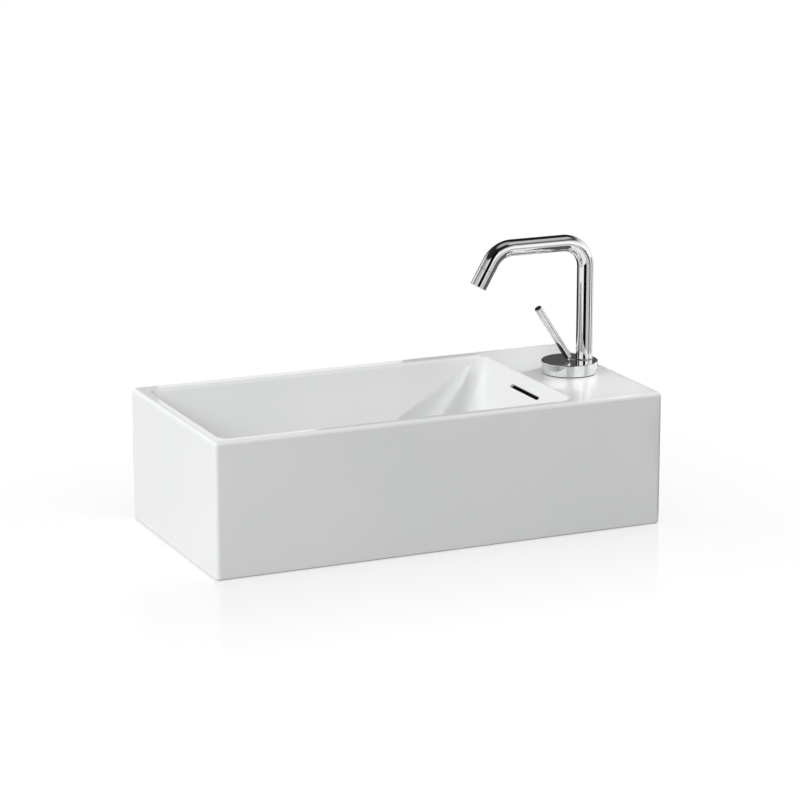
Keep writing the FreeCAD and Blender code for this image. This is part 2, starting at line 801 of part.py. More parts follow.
def waste_washer():
    return ring(drain_x, drain_y, waste_washer_r, waste_r + 0.3, waste_washer_low, waste_seal_low)


def waste_nut():
    high = waste_washer_low
    low = high - waste_nut_thick
    nut = hexagon(drain_x, drain_y, waste_nut_flats, low, high)
    taper = turned(drain_x, drain_y, [(0, low), (waste_nut_face_r, low), (waste_nut_corner_r, low + waste_nut_taper),
                                      (waste_nut_corner_r, high), (0, high)])
    return nut.common(taper).cut(cylinder(drain_x, drain_y, waste_r + 0.05, low - PAST, high + PAST))


def plug_cap():
    """Mushroom cap with a slight dome and a socket for the spindle."""
    under = plug_under
    top = under + plug_thick
    socket_low = housing_high + plug_socket_gap
    crown = Vector(0, 0, top + plug_dome[0])
    rim = Vector(plug_r - plug_edge, 0, top)
    dome = Part.Arc(crown, Vector(plug_r / 2, 0, top + plug_dome[1]), rim).toShape()
    points = [rim, Vector(plug_r, 0, top - plug_edge), Vector(plug_r, 0, under + plug_under_edge),
              Vector(plug_r - plug_under_edge, 0, under), Vector(plug_socket_r, 0, under),
              Vector(plug_socket_r, 0, socket_low), Vector(plug_socket_bore_r, 0, socket_low),
              Vector(plug_socket_bore_r, 0, under), Vector(0, 0, under), crown]
    outline = Part.Wire([dome] + Part.makePolygon(points).Edges)
    solid = Part.Face(outline).revolve(Vector(0, 0, 0), UP, 360)
    solid.translate(Vector(drain_x, drain_y, 0))
    return solid


def plug_seal():
    return ring(drain_x, drain_y, plug_seal_r, plug_seal_inner_r, flange_top + plug_seal_low, plug_under)


def plug_spindle():
    """Spindle with a foot collar that the spring lifts."""
    foot = collar_low - spindle_foot
    collar_high = collar_low + collar_thick
    outline = [(0, foot), (spindle_foot_r, foot), (spindle_foot_r, collar_low), (collar_r, collar_low),
               (collar_r, collar_high), (spindle_r, collar_high), (spindle_r, plug_under), (0, plug_under)]
    return turned(drain_x, drain_y, outline)


def click_housing():
    cavity_low = housing_low + housing_floor
    cavity_high = housing_high - housing_top
    stem_low = housing_low - housing_stem
    outline = [(0, stem_low), (housing_stem_r, stem_low), (housing_stem_r, housing_low), (housing_r, housing_low),
               (housing_r, housing_high), (housing_bore_r, housing_high), (housing_bore_r, cavity_high),
               (housing_room_r, cavity_high), (housing_room_r, cavity_low), (0, cavity_low)]
    return turned(drain_x, drain_y, outline)


def click_spring():
    """Compression spring between the housing's floor and the spindle's collar.

    It is drawn in tilted half turns, with an eight sided wire.
    """
    low = housing_low + housing_floor + spring_wire_r + spring_gap
    high = collar_low - spring_wire_r - spring_gap
    rise = (high - low) / (2 * spring_turns)
    halves = []
    for k in range(2 * spring_turns):
        side = 1 if k % 2 == 0 else -1
        start = Vector(side * spring_r, 0, low + k * rise)
        end = Vector(-side * spring_r, 0, start.z + rise)
        corners = [start + Vector(math.cos(n * math.pi / 4), 0, math.sin(n * math.pi / 4)) * spring_wire_r
                   for n in range(9)]
        section = Part.Face(Part.makePolygon(corners))
        axis = Vector(0, side, 0).cross(end - start)
        halves.append(section.revolve((start + end) * 0.5, axis.normalize(), 180))
    spring = halves[0].fuse(halves[1:])
    spring.translate(Vector(drain_x, drain_y, 0))
    return spring


# ---------------------------------------------------------------- all pieces
PIECES = [
    basin, tap_base, base_gasket, swivel_washer, spout_tube, spout_plug, spout_o_rings, spout_screw,
    aerator_sleeve, aerator_core, aerator_washer, lever_stick, lever_end, lever_ball, ball_seat,
    lever_driver, cartridge_disc_upper, cartridge_disc_lower, cartridge_body, cartridge_seals, shank_plug,
    deck_gasket, deck_washer, deck_nut, waste_body, waste_gasket, waste_seal, waste_washer, waste_nut,
    plug_cap, plug_seal, plug_spindle, click_housing, click_spring,
]


def save(piece):
    shape = piece()
    shape = shape.copy()
    shape.translate(origin * -1)
    shape.exportStep("parts/" + piece.__name__ + ".step")
    print(piece.__name__, shape.isValid(), len(shape.Solids), round(shape.Volume / 1000, 2), "cm3")


os.makedirs("parts", exist_ok=True)
for each_piece in PIECES:
    save(each_piece)
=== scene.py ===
import math

import bmesh
import bpy
from mathutils import Matrix, Vector


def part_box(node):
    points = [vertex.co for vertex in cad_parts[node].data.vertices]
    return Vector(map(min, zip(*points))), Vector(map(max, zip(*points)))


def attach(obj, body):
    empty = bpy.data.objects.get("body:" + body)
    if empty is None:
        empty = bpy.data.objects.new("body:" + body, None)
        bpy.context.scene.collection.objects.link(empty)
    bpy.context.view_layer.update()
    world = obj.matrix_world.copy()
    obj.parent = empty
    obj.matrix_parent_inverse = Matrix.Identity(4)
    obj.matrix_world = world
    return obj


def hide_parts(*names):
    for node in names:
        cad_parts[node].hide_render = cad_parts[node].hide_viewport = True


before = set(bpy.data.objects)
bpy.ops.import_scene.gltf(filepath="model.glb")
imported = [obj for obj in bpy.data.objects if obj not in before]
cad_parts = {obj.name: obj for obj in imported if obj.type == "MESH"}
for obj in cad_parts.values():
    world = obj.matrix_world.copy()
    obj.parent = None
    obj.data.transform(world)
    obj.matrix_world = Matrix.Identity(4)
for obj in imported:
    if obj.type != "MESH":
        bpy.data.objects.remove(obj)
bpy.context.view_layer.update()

# Wall hung basin with a joystick mixer tap and a click waste. Metres.
# Places are measured from the ceramic's front left bottom corner, and at() puts them in the frame.

MM = 0.001
UP = Vector((0, 0, 1))
TURN = 2 * math.pi
ROUND = 96                  # segments of a turned piece

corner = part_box("basin")[0]

# Ceramic
BODY_HEIGHT = 145 * MM
DRAIN = (275.5 * MM, 59 * MM)
BOSS_LOW = 33 * MM
SLOPE_TOP_X = 410 * MM       # where the slanted wall with the overflow slot meets the deck
SLOT_SIDE = 2.2 * MM         # how deep in that wall the painted shade in the slot starts, and where it is all painted dark
# Extent of the painted shade, near black, in the overflow channel behind the slanted wall
CHANNEL_FRONT = 4.0 * MM
CHANNEL_BACK = 13 * MM
CHANNEL_Z = (34 * MM, 142 * MM)
CHANNEL_Y = (40 * MM, 142 * MM)
UNGLAZED_FOOT = 0.9 * MM
UNGLAZED_WALL_Y = 249.6 * MM

# Tap base
TAP = (464 * MM, 124 * MM)
DISC_SHIFT = -2 * MM         # the disc's centre from the tap hole's
DISC_R = 31 * MM
DISC_LOW = 145.8 * MM
DISC_TOP = 158.5 * MM
GASKET_THICK = 0.8 * MM
LEVER_HOLE_R = 4.8 * MM
BALL_ROOM_R = 9 * MM
BALL_ROOM_TOP = 155.5 * MM
CARTRIDGE_TOP = 149 * MM
CARTRIDGE_BORE_R = 12.5 * MM
SHANK_R = 16.5 * MM
SHANK_LOW = 113 * MM
SHANK_PITCH = 1.5 * MM
SHANK_THREAD = 0.8 * MM

# Spout
RISER_X = 479.7 * MM
TUBE_R = 9 * MM
TUBE_WALL = 1.2 * MM
STUB_TOP = 170.2 * MM
STUB_BORE_R = 6.6 * MM
JOINT_GAP = 0.6 * MM
SPOUT_HEIGHT = 289.2 * MM
SPOUT_BEND_R = 28 * MM
SPOUT_CORNER_X = 373.5 * MM
OUTLET_TURN = math.radians(60)
CORNER_TO_JOINT = 25.6 * MM
CORNER_TO_TIP = 45.9 * MM

# Aerator, along the outlet from the joint
SLEEVE_START = -6 * MM
SLEEVE_BORE_R = 6.6 * MM
SLEEVE_GAP = 0.35 * MM
SLEEVE_MOUTH_R = 7.6 * MM
SLEEVE_SEAT = 4 * MM
GRID_R = 7.45 * MM
GRID_START = 5.5 * MM
GRID_BOWL_R = 6.3 * MM
GRID_RING_RADII = (1.4 * MM, 3.0 * MM, 4.6 * MM)
GRID_RING_HALF = 0.22 * MM
GRID_SPOKES = 12
GRID_SPOKE = (4.9 * MM, 0.4 * MM, 0.9 * MM)
GRID_SPOKE_MIDDLE = 3.9 * MM

# Lever
PIVOT_HEIGHT = 156 * MM
LEVER_LEAN = math.radians(33)
STICK_R = 4 * MM
STICK_START = 6.5 * MM
STICK_END = 75.5 * MM
BALL_R = 4.5 * MM
NECK_R = 2.2 * MM
TAIL_R = 1.8 * MM
TAIL_LENGTH = 15 * MM
CUP_R = 3.3 * MM             # the seat of the dark cap in the stick's end
CUP_DEPTH = 2.2 * MM
CAP_R = 3.85 * MM
CAP_PROUD = 1.1 * MM

# Deck fixing
DECK_UNDER = 133 * MM
DECK_GASKET_THICK = 2.5 * MM
DECK_WASHER_THICK = 1.5 * MM
DECK_NUT_THICK = 8 * MM
DECK_NUT_FLATS = 41 * MM
DECK_GASKET_R = 26 * MM
DECK_WASHER_R = 25 * MM

# Waste
FLANGE_R = 32 * MM
FLANGE_TOP = 54.3 * MM
FLANGE_LOW = 52.3 * MM
WASTE_R = 20.95 * MM
WASTE_BORE_R = 18 * MM
WASTE_LOW = 2 * MM
WASTE_PITCH = 2.3 * MM
WASTE_THREAD = 1.1 * MM
NUT_LOW = 15.2 * MM
NUT_TOP = 25.2 * MM
NUT_FLATS = 52 * MM
SLIP_RING_TOP = 27 * MM
SLIP_RING_R = 29 * MM
CONE_R = 30.5 * MM
BRIDGE_Z = (18 * MM, 24 * MM)
BRIDGE_HUB_R = (3.15 * MM, 5.5 * MM)
BRIDGE_ARM = (14.5 * MM, 3 * MM)
BRIDGE_ARM_MIDDLE = 11.5 * MM
FLANGE_GASKET_LOW = 51.5 * MM
PLUG_R = 29 * MM
PLUG_GAP = 1.0 * MM
PLUG_THICK = 3.2 * MM
PLUG_NECK_R = 5.5 * MM
PLUG_NECK_LOW = 48.8 * MM
PLUG_BORE_R = 3 * MM


def at(x, y, z):
    return corner + Vector((x, y, z))


# ---------------------------------------------------------------- mesh code
def softened(corners, closed=True, steps=4):
    """Outline through 2D corners. A corner's third number is the radius of an arc there."""
    points = []
    count = len(corners)
    for i, entry in enumerate(corners):
        here = Vector(entry[:2])
        radius = entry[2] if len(entry) > 2 else 0
        if radius == 0:
            points.append(here)
            continue
        before = (Vector(corners[i - 1][:2]) - here).normalized()
        after = (Vector(corners[(i + 1) % count][:2]) - here).normalized()
        half = before.angle(after) / 2
        reach = radius / math.tan(half)
        centre = here + (before + after).normalized() * radius / math.sin(half)
        first = here + before * reach - centre
        last = here + after * reach - centre
        start = math.atan2(first.y, first.x)
        sweep = (math.atan2(last.y, last.x) - start + math.pi) % TURN - math.pi
        points.append(centre + first + before * radius * 0.2)
        for step in range(steps + 1):
            angle = start + sweep * step / steps
            points.append(centre + Vector((math.cos(angle), math.sin(angle))) * radius)
        points.append(centre + last + after * radius * 0.2)
    return points


def join_rings(bm, a, b):
    """Faces between two rings of vertices. A ring of one vertex is a pole."""
    count = max(len(a), len(b))
    for i in range(count):
        j = (i + 1) % count
        quad = [a[i % len(a)], a[j % len(a)], b[j % len(b)], b[i % len(b)]]
        face = list(dict.fromkeys(quad))
        if len(face) > 2:
            bm.faces.new(face)


def stacked(rings, closed=True):
    """Surface through rings of points. Closed joins the last ring to the first."""
    bm = bmesh.new()
    made = [[bm.verts.new(point) for point in ring] for ring in rings]
    for a, b in zip(made, made[1:]):
        join_rings(bm, a, b)
    if closed:
        join_rings(bm, made[-1], made[0])
    return bm


def circle(radius, z, shift=0.0, segments=ROUND):
    if radius < 1e-7:
        return [Vector((shift, 0, z))]
    return [Vector((shift + radius * math.cos(TURN * k / segments), radius * math.sin(TURN * k / segments), z))
            for k in range(segments)]


def turned(outline, closed=True, segments=ROUND):
    """Turned solid about Z through an outline of (radius, height) points."""
    return stacked([circle(r, z, 0, segments) for r, z in outline], closed)


def threaded(radius, depth, pitch, low, high, inner):
    """Threaded sleeve. The thread runs out at both ends."""
    rings = []
    levels = math.ceil((high - low) / pitch * 8)
    for level in range(levels + 1):
        z = low + (high - low) * level / levels
        ends = min(z - low, high - z) / (0.6 * pitch)
        cut = depth * min(1.0, ends)
        ring = []
        for k in range(ROUND):
            phase = (z / pitch - k / ROUND) % 1
            wave = max(0.0, 1 - abs(2 * phase - 1) * 1.3)
            r = radius - depth * 0.15 * (1 - min(1.0, ends)) - cut * (1 - wave)
            ring.append(Vector((r * math.cos(TURN * k / ROUND), r * math.sin(TURN * k / ROUND), z)))
        rings.append(ring)
    return stacked(rings + [circle(inner, high), circle(inner, low)])


def hex_nut(across_flats, bore, low, high, chamfer_r, chamfer_high):
    """Nut with its lower corners turned off and a chamfered bore."""
    corner_r = across_flats / 2 / math.cos(math.radians(30))

    def ring(limit, z, inset=0.0):
        points = []
        for k in range(ROUND):
            angle = TURN * k / ROUND
            flat = (across_flats / 2 - inset) / math.cos(angle % math.radians(60) - math.radians(30))
            r = min(flat, limit, corner_r - 0.25 * MM - inset)
            points.append(Vector((r * math.cos(angle), r * math.sin(angle), z)))
        return points

    rings = [circle(bore + 1.0 * MM, low), ring(chamfer_r, low)]
    for step in range(1, 6):
        share = step / 5
        rings.append(ring(chamfer_r + (corner_r - chamfer_r) * share, low + (chamfer_high - low) * share))
    rings += [ring(corner_r, high - 0.3 * MM), ring(corner_r, high, 0.3 * MM), circle(bore + 0.6 * MM, high),
              circle(bore, high - 0.6 * MM), circle(bore, low + 1.0 * MM)]
    return stacked(rings)


def swept(path, radius, inner):
    """Tube along a path in the XZ plane, given as 2D points."""
    stations = []
    for i, point in enumerate(path):
        tangent = (path[min(i + 1, len(path) - 1)] - path[max(i - 1, 0)]).normalized()
        side = Vector((-tangent.y, 0, tangent.x))
        stations.append((Vector((point.x, 0, point.y)), side))

    def ring(station, r):
        centre, side = station
        return [centre + (side * math.cos(TURN * k / ROUND) + Vector((0, 1, 0)) * math.sin(TURN * k / ROUND)) * r
                for k in range(ROUND)]

    outside = [ring(station, radius) for station in stations]
    inside = [ring(station, inner) for station in reversed(stations)]
    return stacked(outside + inside)


def moved(bm, matrix):
    bmesh.ops.transform(bm, matrix=matrix, verts=bm.verts)
    return bm


def bar(size, place):
    """Box of a size, about its middle, at a place."""
    bm = bmesh.new()
    bmesh.ops.create_cube(bm, size=1.0)
    return moved(bm, place @ Matrix.Diagonal((*size, 1)))


def tilted(origin, direction):
    """Matrix that lays the Z axis along a direction from an origin."""
    return Matrix.Translation(origin) @ UP.rotation_difference(direction).to_matrix().to_4x4()


def piece(name, shells, body, slot, nodes, sharp=None):
    """One object from closed shells, which rides on a body and stands for CAD nodes, in its slot's material."""
    mesh = bpy.data.meshes.new(name)
    whole = bmesh.new()
    for shell in shells:
        bmesh.ops.recalc_face_normals(shell, faces=shell.faces)
        part = bpy.data.meshes.new("part")
        shell.to_mesh(part)
        shell.free()
        whole.from_mesh(part)
        bpy.data.meshes.remove(part)
    whole.to_mesh(mesh)
    whole.free()
    for polygon in mesh.polygons:
        polygon.use_smooth = True
    if sharp:
        mesh.set_sharp_from_angle(angle=math.radians(sharp))
    mesh.materials.append(SLOT_MATERIALS[slot])
    made = bpy.data.objects.new(name, mesh)
    bpy.context.scene.collection.objects.link(made)
    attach(made, body)
    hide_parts(*nodes)
    return made


# ---------------------------------------------------------------- materials
def maths(nodes, link, operation, a, b=0.0):
    """Output of a maths node on two values, which are floats or outputs."""
    node = nodes.new("ShaderNodeMath")
    node.operation = operation
    for socket, value in ((0, a), (1, b)):
        if isinstance(value, float):
            node.inputs[socket].default_value = value
        else:
            link(value, node.inputs[socket])
    return node.outputs["Value"]


class Surface:
    """A procedural material: a Principled shader, with noise that its colour, roughness and bump come from."""

    def __init__(self, name, **values):
        self.material = bpy.data.materials.new(name)
        self.material.use_nodes = True
        tree = self.material.node_tree
        self.nodes = tree.nodes
        self.link = tree.links.new
        self.shader = self.nodes["Principled BSDF"]
        for socket, value in values.items():
            self.shader.inputs[socket.replace("_", " ")].default_value = value
        self.where = self.nodes.new("ShaderNodeTexCoord").outputs["Object"]

    def noise(self, scale, detail=3.0, stretch=None):
        texture = self.nodes.new("ShaderNodeTexNoise")
        texture.inputs["Scale"].default_value = scale
        texture.inputs["Detail"].default_value = detail
        where = self.where
        if stretch:
            mapping = self.nodes.new("ShaderNodeMapping")
            mapping.inputs["Scale"].default_value = stretch
            self.link(where, mapping.inputs["Vector"])
            where = mapping.outputs["Vector"]
        self.link(where, texture.inputs["Vector"])
        return texture.outputs["Fac"]

    def maths(self, operation, a, b=0.0):
        return maths(self.nodes, self.link, operation, a, b)

    def spread(self, value, start, stop, low=0.0, high=1.0):
        """A number that runs from low to high while a value runs from start to stop, and stays there outside."""
        node = self.nodes.new("ShaderNodeMapRange")
        node.inputs["From Min"].default_value = start
        node.inputs["From Max"].default_value = stop
        node.inputs["To Min"].default_value = low
        node.inputs["To Max"].default_value = high
        self.link(value, node.inputs["Value"])
        return node.outputs["Result"]

    def between(self, factor, low, high):
        """A number that runs from low to high with a noise of about 0.3 to 0.7."""
        return self.spread(factor, 0.3, 0.7, low, high)

    def blend(self, factor, low, high):
        """A colour that runs from low to high, which are colours or outputs."""
        node = self.nodes.new("ShaderNodeMix")
        node.data_type = "RGBA"
        self.link(factor, node.inputs["Factor"])
        for socket, colour in ((6, low), (7, high)):
            if isinstance(colour, tuple):
                node.inputs[socket].default_value = (*colour, 1)
            else:
                self.link(colour, node.inputs[socket])
        return node.outputs[2]

    def number_blend(self, factor, low, high):
        node = self.nodes.new("ShaderNodeMix")
        self.link(factor, node.inputs["Factor"])
        for socket, value in ((2, low), (3, high)):
            if isinstance(value, float):
                node.inputs[socket].default_value = value
            else:
                self.link(value, node.inputs[socket])
        return node.outputs[0]

    def bump(self, height, distance):
        node = self.nodes.new("ShaderNodeBump")
        node.inputs["Distance"].default_value = distance
        node.inputs["Strength"].default_value = 1.0
        self.link(height, node.inputs["Height"])
        if self.shader.inputs["Normal"].links:
            self.link(self.shader.inputs["Normal"].links[0].from_socket, node.inputs["Normal"])
        self.link(node.outputs["Normal"], self.shader.inputs["Normal"])

    def set(self, socket, output):
        self.link(output, self.shader.inputs[socket])

    def beyond(self, axis, edge, soft, above=True):
        """1 where the point is past an edge along an axis, 0 before it."""
        split = self.nodes.new("ShaderNodeSeparateXYZ")
        self.link(self.where, split.inputs["Vector"])
        before, after = (edge - soft, edge + soft) if above else (edge + soft, edge - soft)
        return self.spread(split.outputs[axis], before, after)

    def painted_channel_shade(self):
        """1 in the overflow slot and the channel behind the slanted wall, where the glaze is painted near black
        as shade, 0 elsewhere.
        """
        inward = Vector((1, 0, -1)).normalized()
        lip = at(SLOPE_TOP_X, 0, BODY_HEIGHT).dot(inward)
        depth = self.nodes.new("ShaderNodeVectorMath")
        depth.operation = "DOT_PRODUCT"
        depth.inputs[1].default_value = inward
        self.link(self.where, depth.inputs[0])
        depth = depth.outputs["Value"]
        masks = [self.spread(depth, lip + SLOT_SIDE, lip + CHANNEL_FRONT),
                 self.spread(depth, lip + CHANNEL_BACK + 1 * MM, lip + CHANNEL_BACK)]
        soft = 0.5 * MM
        for axis, foot, (low, high) in (("Z", corner.z, CHANNEL_Z), ("Y", corner.y, CHANNEL_Y)):
            masks.append(self.beyond(axis, foot + low, soft))
            masks.append(self.beyond(axis, foot + high, soft, above=False))
        result = masks[0]
        for mask in masks[1:]:
            result = self.maths("MINIMUM", result, mask)
        return result


def make_glaze():
    """White glaze, bare and matt where the body stood in the kiln and where it meets the wall, and painted near
    black as shade in the overflow slot and its channel.
    """
    surface = Surface("glazed_china", IOR=1.5)
    cloud = surface.between(surface.noise(5.0), 0.0, 1.0)
    glazed = surface.blend(cloud, (0.845, 0.86, 0.855), (0.88, 0.89, 0.885))
    grain = surface.between(surface.noise(420.0, 6.0), 0.0, 1.0)
    bare = surface.blend(grain, (0.70, 0.66, 0.60), (0.80, 0.77, 0.72))
    ragged = 0.4 * MM
    foot = surface.beyond("Z", corner.z + UNGLAZED_FOOT, ragged, above=False)
    edge = surface.maths("MAXIMUM", foot, surface.beyond("Y", corner.y + UNGLAZED_WALL_Y, ragged))
    # Painted shade: the overflow slot and its channel are painted near black
    glazed = surface.blend(surface.painted_channel_shade(), glazed, (0.02, 0.02, 0.02))
    surface.set("Base Color", surface.blend(edge, glazed, bare))
    sheen = surface.between(surface.noise(34.0), 0.05, 0.09)
    surface.set("Roughness", surface.number_blend(edge, sheen, 0.75))
    surface.bump(surface.noise(9.0, 2.0), 0.25 * MM)
    surface.bump(surface.noise(160.0, 2.0), 0.004 * MM)
    return surface.material


def make_chrome():
    surface = Surface("chrome_plate", Metallic=1.0)
    wear = surface.between(surface.noise(60.0, 5.0), 0.0, 1.0)
    surface.set("Base Color", surface.blend(wear, (0.77, 0.775, 0.785), (0.82, 0.825, 0.83)))
    surface.set("Roughness", surface.between(surface.noise(45.0, 6.0), 0.02, 0.055))
    surface.bump(surface.noise(70.0, 2.0), 0.006 * MM)
    return surface.material


def make_brass():
    surface = Surface("bare_brass", Metallic=1.0)
    tarnish = surface.between(surface.noise(90.0, 6.0), 0.0, 1.0)
    surface.set("Base Color", surface.blend(tarnish, (0.58, 0.43, 0.19), (0.74, 0.58, 0.30)))
    surface.set("Roughness", surface.between(surface.noise(140.0, 4.0), 0.22, 0.38))
    surface.bump(surface.noise(900.0, 3.0), 0.01 * MM)
    return surface.material


def make_steel():
    surface = Surface("spun_steel", Metallic=1.0)
    lines = surface.noise(900.0, 4.0, (1.0, 1.0, 0.05))
    shine = surface.between(lines, 0.0, 1.0)
    surface.set("Base Color", surface.blend(shine, (0.55, 0.55, 0.56), (0.68, 0.68, 0.69)))
    surface.set("Roughness", surface.between(surface.noise(220.0, 3.0), 0.25, 0.4))
    surface.bump(lines, 0.008 * MM)
    return surface.material


def make_plain(name, dark, light, rough, grain_scale, grain_height):
    """Rubber, plastic or bare ceramic: a mottled colour with a fine grain."""
    surface = Surface(name)
    mottle = surface.between(surface.noise(70.0, 4.0), 0.0, 1.0)
    surface.set("Base Color", surface.blend(mottle, dark, light))
    surface.set("Roughness", surface.between(surface.noise(120.0), rough - 0.06, rough + 0.06))
    surface.bump(surface.noise(grain_scale, 4.0), grain_height)
    return surface.material


SLOT_MATERIALS = {
    "glaze": make_glaze(),
    "chrome": make_chrome(),
    "brass": make_brass(),
    "steel": make_steel(),
    "black_rubber": make_plain("moulded_rubber", (0.012, 0.012, 0.013), (0.03, 0.03, 0.032), 0.62, 1500.0,
                               0.02 * MM),
    "white_plastic": make_plain("white_acetal", (0.72, 0.72, 0.70), (0.80, 0.80, 0.79), 0.38, 1100.0, 0.008 * MM),
    "grey_plastic": make_plain("grey_acetal", (0.20, 0.205, 0.21), (0.28, 0.285, 0.29), 0.40, 1100.0, 0.008 * MM),
    "dark_plastic": make_plain("gloss_insert", (0.010, 0.010, 0.011), (0.022, 0.022, 0.024), 0.16, 1400.0,
                               0.004 * MM),
    "disc_ceramic": make_plain("alumina", (0.78, 0.76, 0.72), (0.86, 0.85, 0.82), 0.30, 1800.0, 0.004 * MM),
}


def dress_nodes():
    """The CAD nodes that stay get the same materials as the pieces."""
    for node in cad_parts.values():
        for held in node.material_slots:
            held.material = SLOT_MATERIALS[held.material.name.split(".")[0]]


# ---------------------------------------------------------------- tap
def spout_path():
    outlet = Vector((-math.cos(OUTLET_TURN), -math.sin(OUTLET_TURN))) * CORNER_TO_JOINT
    last = Vector((SPOUT_CORNER_X, SPOUT_HEIGHT)) + outlet
    corners = [(RISER_X, STUB_TOP + JOINT_GAP), (RISER_X, SPOUT_HEIGHT, SPOUT_BEND_R),
               (SPOUT_CORNER_X, SPOUT_HEIGHT, SPOUT_BEND_R), tuple(last)]
    return softened(corners, closed=False, steps=36)


def make_spout():
    tube = moved(swept(spout_path(), TUBE_R, TUBE_R - TUBE_WALL), Matrix.Translation(at(0, TAP[1], 0)))
    return piece("spout_pipe", [tube], "spout", "chrome", ["spout_tube"], sharp=50)


def outlet_matrix():
    down = Vector((-math.cos(OUTLET_TURN), 0, -math.sin(OUTLET_TURN)))
    return tilted(at(SPOUT_CORNER_X, TAP[1], SPOUT_HEIGHT) + down * CORNER_TO_JOINT, down)


def make_aerator():
    end = CORNER_TO_TIP - CORNER_TO_JOINT
    neck = TUBE_R - TUBE_WALL - 0.1 * MM
    outline = softened([(SLEEVE_BORE_R, SLEEVE_START), (neck, SLEEVE_START), (neck, SLEEVE_GAP),
                        (TUBE_R, SLEEVE_GAP, 0.15 * MM), (TUBE_R, end, 0.45 * MM),
                        (SLEEVE_MOUTH_R + 0.1 * MM, end, 0.3 * MM), (SLEEVE_MOUTH_R, SLEEVE_SEAT),
                        (SLEEVE_BORE_R, SLEEVE_SEAT)])
    shells = [moved(turned(outline), outlet_matrix())]
    piece("aerator_shell", shells, "spout", "chrome", ["aerator_sleeve"])
    face = end - 1.4 * MM
    rim_top = end - 0.8 * MM
    bowl_floor = face - 0.8 * MM
    insert = [turned(softened([(0, GRID_START), (GRID_R, GRID_START), (GRID_R, rim_top, 0.2 * MM),
                               (GRID_BOWL_R, rim_top, 0.2 * MM), (GRID_BOWL_R, bowl_floor), (0, bowl_floor)]),
                     closed=False)]
    for radius in GRID_RING_RADII:
        inner, outer = radius - GRID_RING_HALF, radius + GRID_RING_HALF
        rim = softened([(inner, face - 1 * MM), (inner, face, 0.1 * MM), (outer, face, 0.1 * MM),
                        (outer, face - 1 * MM)])
        insert.append(turned(rim, segments=48))
    for k in range(GRID_SPOKES):
        turn = Matrix.Rotation(TURN * k / GRID_SPOKES, 4, "Z")
        insert.append(bar(GRID_SPOKE, turn @ Matrix.Translation((GRID_SPOKE_MIDDLE, 0, face - 0.5 * MM))))
    shells = [moved(shell, outlet_matrix()) for shell in insert]
    piece("aerator_grid", shells, "spout", "white_plastic", ["aerator_core"], sharp=40)


def make_tap_base():
    """Disc with the lever's hole, the stub that carries the spout, and the threaded shank."""
    corners = [(DISC_R, DISC_LOW, 0.3 * MM), (DISC_R, DISC_TOP, 0.7 * MM), (LEVER_HOLE_R, DISC_TOP, 0.35 * MM),
               (LEVER_HOLE_R, BALL_ROOM_TOP), (BALL_ROOM_R, BALL_ROOM_TOP), (BALL_ROOM_R, CARTRIDGE_TOP),
               (CARTRIDGE_BORE_R, CARTRIDGE_TOP), (CARTRIDGE_BORE_R, DISC_LOW)]
    split = 0.5 * (DISC_R + LEVER_HOLE_R)
    rings = []
    for r, z in softened(corners, steps=5):
        rings.append(circle(r, z, DISC_SHIFT if r > split else 0.0))
    disc = moved(stacked(rings), Matrix.Translation(at(*TAP, 0)))
    stub_outline = softened([(STUB_BORE_R, DISC_TOP - 2 * MM), (TUBE_R + 1.5 * MM, DISC_TOP - 2 * MM),
                             (TUBE_R + 1.5 * MM, DISC_TOP), (TUBE_R, DISC_TOP + 0.02 * MM, 1.4 * MM),
                             (TUBE_R, STUB_TOP, 0.25 * MM), (STUB_BORE_R, STUB_TOP)])
    stub = moved(turned(stub_outline), Matrix.Translation(at(RISER_X, TAP[1], 0)))
    shank = threaded(SHANK_R, SHANK_THREAD, SHANK_PITCH, SHANK_LOW, DISC_LOW, CARTRIDGE_BORE_R)
    moved(shank, Matrix.Translation(at(*TAP, 0)))
    piece("tap_casting", [disc, stub, shank], "basin", "chrome", ["tap_base"], sharp=50)


def make_tap_rings():
    z = BODY_HEIGHT
    gasket = softened([(SHANK_R + 0.5 * MM, z), (DISC_R - 0.8 * MM, z, 0.2 * MM),
                       (DISC_R - 0.8 * MM, z + GASKET_THICK, 0.2 * MM), (SHANK_R + 0.5 * MM, z + GASKET_THICK)])
    seat = Matrix.Translation(at(TAP[0] + DISC_SHIFT, TAP[1], 0))
    piece("tap_gasket", [moved(turned(gasket), seat)], "basin", "black_rubber", ["base_gasket"])
    z = STUB_TOP
    washer = softened([(STUB_BORE_R + 0.2 * MM, z), (TUBE_R - 0.3 * MM, z, 0.1 * MM),
                       (TUBE_R - 0.3 * MM, z + JOINT_GAP, 0.1 * MM), (STUB_BORE_R + 0.2 * MM, z + JOINT_GAP)])
    seat = Matrix.Translation(at(RISER_X, TAP[1], 0))
    piece("glide_ring", [moved(turned(washer), seat)], "basin", "white_plastic", ["swivel_washer"])


def lever_matrix():
    direction = Vector((-math.sin(LEVER_LEAN), 0, math.cos(LEVER_LEAN)))
    return tilted(at(TAP[0], TAP[1], PIVOT_HEIGHT), direction)


